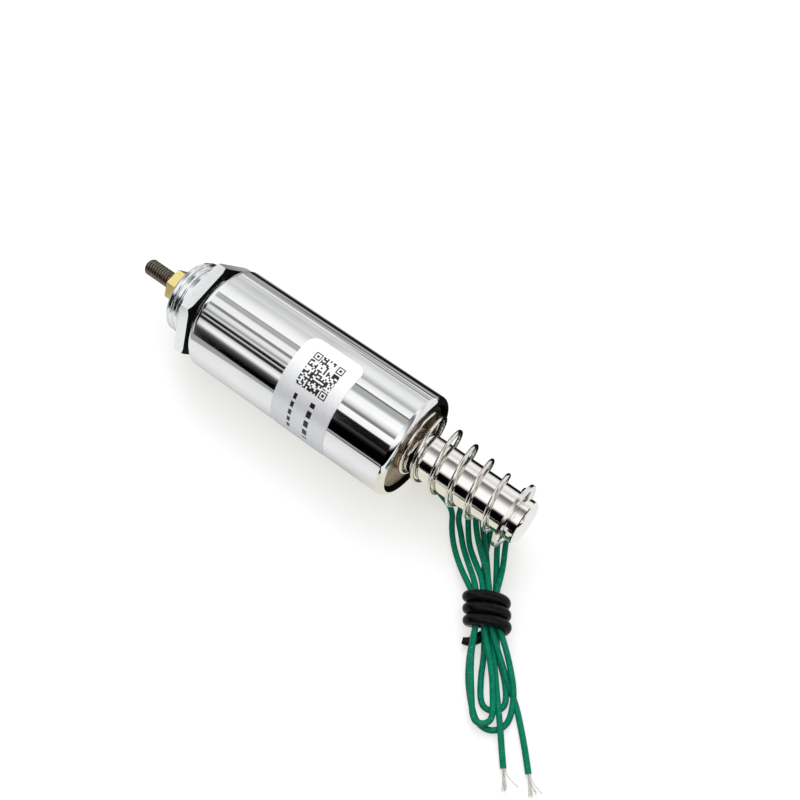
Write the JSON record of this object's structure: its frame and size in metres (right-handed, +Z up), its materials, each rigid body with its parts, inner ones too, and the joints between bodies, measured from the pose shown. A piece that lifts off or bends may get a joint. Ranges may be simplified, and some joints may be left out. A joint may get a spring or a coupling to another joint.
{
  "type": "push pull solenoid",
  "caption": "Tubular push-pull solenoid: steel can with threaded nose and hex nut, push rod with rubber bumper, spring-returned plunger with snap ring, and tied lead wires.",
  "frame": {"origin": "on the surface it lies on, below the middle of the object without its free leads", "axes": "+X along the plunger's axis from the nose towards the plunger's outer end, +Z up"},
  "size_m": [0.1383, 0.0559, 0.0251],
  "materials": {
    "can_chrome": "mirror nickel plate",
    "zinc_steel": "bright zinc",
    "cap_steel": "satin nickel",
    "plunger_nickel": "bright nickel",
    "spring_nickel": "bright nickel",
    "clip_nickel": "bright nickel",
    "rod_dark_steel": "dark oxide",
    "nut_yellow_zinc": "yellow zinc",
    "sleeve_brass": "satin",
    "bush_bronze": "satin",
    "copper_winding": "enamelled",
    "coil_tape": "glossy",
    "bobbin_nylon": "matt",
    "label_white": "matt",
    "bumper_rubber": "satin",
    "grommet_rubber": "matt",
    "lead_green": "glossy",
    "tie_black": "glossy",
    "tinned_strands": "tinned"
  },
  "bodies": {
    "housing": {"can": "can_chrome", "front_core": "zinc_steel", "rear_cap": "cap_steel", "lead_grommet": "grommet_rubber", "bobbin": "bobbin_nylon", "coil_winding": "copper_winding", "coil_wrap": "coil_tape", "guide_sleeve": "sleeve_brass", "rod_bush": "bush_bronze", "mounting_nut": "zinc_steel", "label": "label_white", "return_spring": "spring_nickel", "lead_a": "lead_green", "lead_b": "lead_green", "lead_hank": "lead_green", "hank_tie": "tie_black", "lead_tail_a": "lead_green", "lead_tail_b": "lead_green", "strand_end_a": "tinned_strands", "strand_end_b": "tinned_strands"},
    "plunger_assembly": {"plunger": "plunger_nickel", "push_rod": "rod_dark_steel", "rod_nut": "nut_yellow_zinc", "bumper": "bumper_rubber", "spring_clip": "clip_nickel"}
  },
  "joints": [
    {"name": "plunger_slide", "type": "slide", "parent": "housing", "child": "plunger_assembly", "axis": [-1, 0, 0], "range_m": [0, 0.01], "stiffness_N_per_m": 300, "springref_m": -0.006, "deforming": ["return_spring"]}
  ]
}
